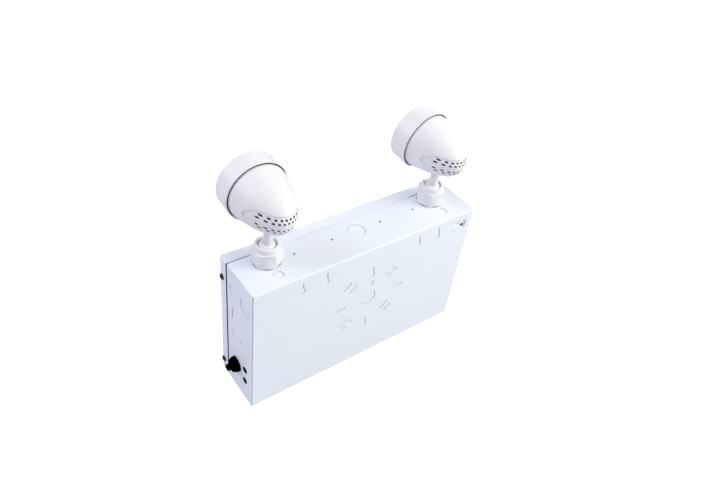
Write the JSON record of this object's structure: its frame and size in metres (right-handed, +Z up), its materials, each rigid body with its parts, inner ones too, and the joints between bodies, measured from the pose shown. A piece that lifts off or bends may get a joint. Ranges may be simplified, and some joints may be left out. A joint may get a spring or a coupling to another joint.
{
  "type": "emergency light",
  "caption": "Wall emergency light: a flat white steel battery box with two white egg-shaped lamp heads on ball swivels, and a test switch with pilot lamps.",
  "frame": {"origin": "middle of the back panel, in the plane that lies on the wall", "axes": "+X to the right as seen from the front, along the wall; +Y into the wall; +Z up"},
  "size_m": [0.3367, 0.093, 0.3112],
  "materials": {
    "white_paint": "powder coat, semi gloss",
    "black_steel": "black zinc",
    "black_rubber": "matte",
    "white_plastic": "moulded, semi gloss",
    "zinc_steel": "zinc plated",
    "clear_lens": "clear polycarbonate",
    "bright_steel": "bright",
    "reflector": "faceted reflector",
    "ceramic": "unglazed ceramic",
    "black_plastic": "satin",
    "dark_lens": "dark tinted",
    "battery_case": "matte",
    "core_steel": "varnished laminations",
    "coil_tape": "yellow tape",
    "board_green": "solder mask",
    "relay_case": "moulded",
    "terminal_green": "moulded",
    "capacitor_sleeve": "sleeve",
    "earth_green": "dyed"
  },
  "bodies": {
    "housing": {"battery": "battery_case", "battery_strap": "zinc_steel", "battery_terminals": "zinc_steel", "board_screws": "zinc_steel", "board_standoffs": "zinc_steel", "capacitor": "capacitor_sleeve", "charger_board": "board_green", "chassis": "white_paint", "cover_screws": "black_steel", "earth_screw": "earth_green", "front_cover": "white_paint", "lock_nut_left": "zinc_steel", "lock_nut_right": "zinc_steel", "pilot_lamps": "dark_lens", "relay": "relay_case", "strap_screws": "zinc_steel", "switch_bezel": "black_plastic", "switch_body": "black_plastic", "swivel_hub_left": "white_plastic", "swivel_hub_right": "white_plastic", "swivel_nut_left": "white_plastic", "swivel_nut_right": "white_plastic", "swivel_washer_left": "black_rubber", "swivel_washer_right": "black_rubber", "terminal_block": "terminal_green", "transformer_coil": "coil_tape", "transformer_core": "core_steel", "transformer_frame": "zinc_steel"},
    "seat_right": {"ball_seat_right": "white_plastic"},
    "head_right": {"ball_stem_right": "white_plastic", "stem_nut_right": "zinc_steel", "head_shell_right": "white_plastic", "lens_ring_right": "white_plastic", "lens_right": "clear_lens", "lens_gasket_right": "black_rubber", "lamp_carrier_right": "bright_steel", "lamp_right": "reflector", "lamp_socket_right": "ceramic"},
    "seat_left": {"ball_seat_left": "white_plastic"},
    "head_left": {"ball_stem_left": "white_plastic", "stem_nut_left": "zinc_steel", "head_shell_left": "white_plastic", "lens_ring_left": "white_plastic", "lens_left": "clear_lens", "lens_gasket_left": "black_rubber", "lamp_carrier_left": "bright_steel", "lamp_left": "reflector", "lamp_socket_left": "ceramic"},
    "button": {"test_button": "black_plastic"}
  },
  "joints": [
    {"name": "head_pan_right", "type": "hinge", "parent": "housing", "child": "seat_right", "pos_m": [0.119, -0.043, 0.113], "axis": [0, 0, 1], "range_deg": [-170, 170]},
    {"name": "head_tilt_right", "type": "hinge", "parent": "seat_right", "child": "head_right", "pos_m": [0.119, -0.043, 0.113], "axis": [-0.9997, -0.0262, 0], "range_deg": [-22, 18]},
    {"name": "head_pan_left", "type": "hinge", "parent": "housing", "child": "seat_left", "pos_m": [-0.119, -0.043, 0.113], "axis": [0, 0, 1], "range_deg": [-170, 170]},
    {"name": "head_tilt_left", "type": "hinge", "parent": "seat_left", "child": "head_left", "pos_m": [-0.119, -0.043, 0.113], "axis": [-0.9943, -0.1063, 0], "range_deg": [-22, 18]},
    {"name": "test_press", "type": "slide", "parent": "housing", "child": "button", "axis": [-1, 0, 0], "range_m": [0, 0.0025], "stiffness_N_per_m": 800, "springref_m": -0.001}
  ]
}
